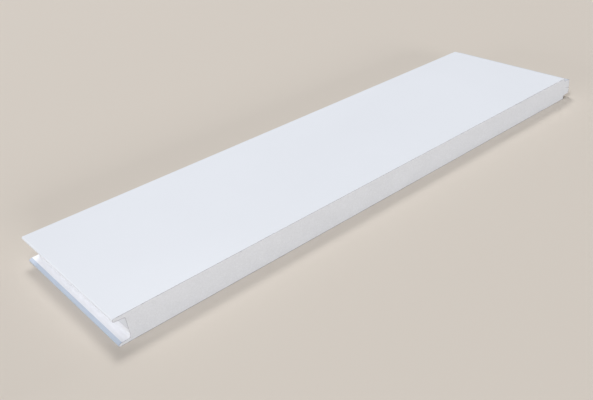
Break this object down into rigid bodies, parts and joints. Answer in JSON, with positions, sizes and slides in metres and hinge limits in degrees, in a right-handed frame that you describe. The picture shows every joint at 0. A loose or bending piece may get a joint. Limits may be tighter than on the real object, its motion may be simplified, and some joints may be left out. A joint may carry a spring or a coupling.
{
  "type": "insulated sandwich wall panel",
  "caption": "Short full-width length of insulated wall panel: white coated steel facings on a rigid foam core, groove joint along one edge and tongue along the other.",
  "frame": {"origin": "middle of the panel's width and length, on the inner face that it lies on", "axes": "+X across the cover width from the groove edge to the tongue edge, +Y along the joint, +Z out through the outer face"},
  "size_m": [1.1703, 0.302, 0.05],
  "materials": {
    "outer_facing": "semi-gloss white coil coating on 0.5 mm galvanised steel",
    "inner_facing": "semi-gloss white coil coating on 0.5 mm galvanised steel",
    "foam_core": "sawn rigid foam, matte and fine-grained"
  },
  "bodies": {
    "root": {"outer_facing": "outer_facing", "inner_facing": "inner_facing", "foam_core": "foam_core"}
  },
  "joints": []
}
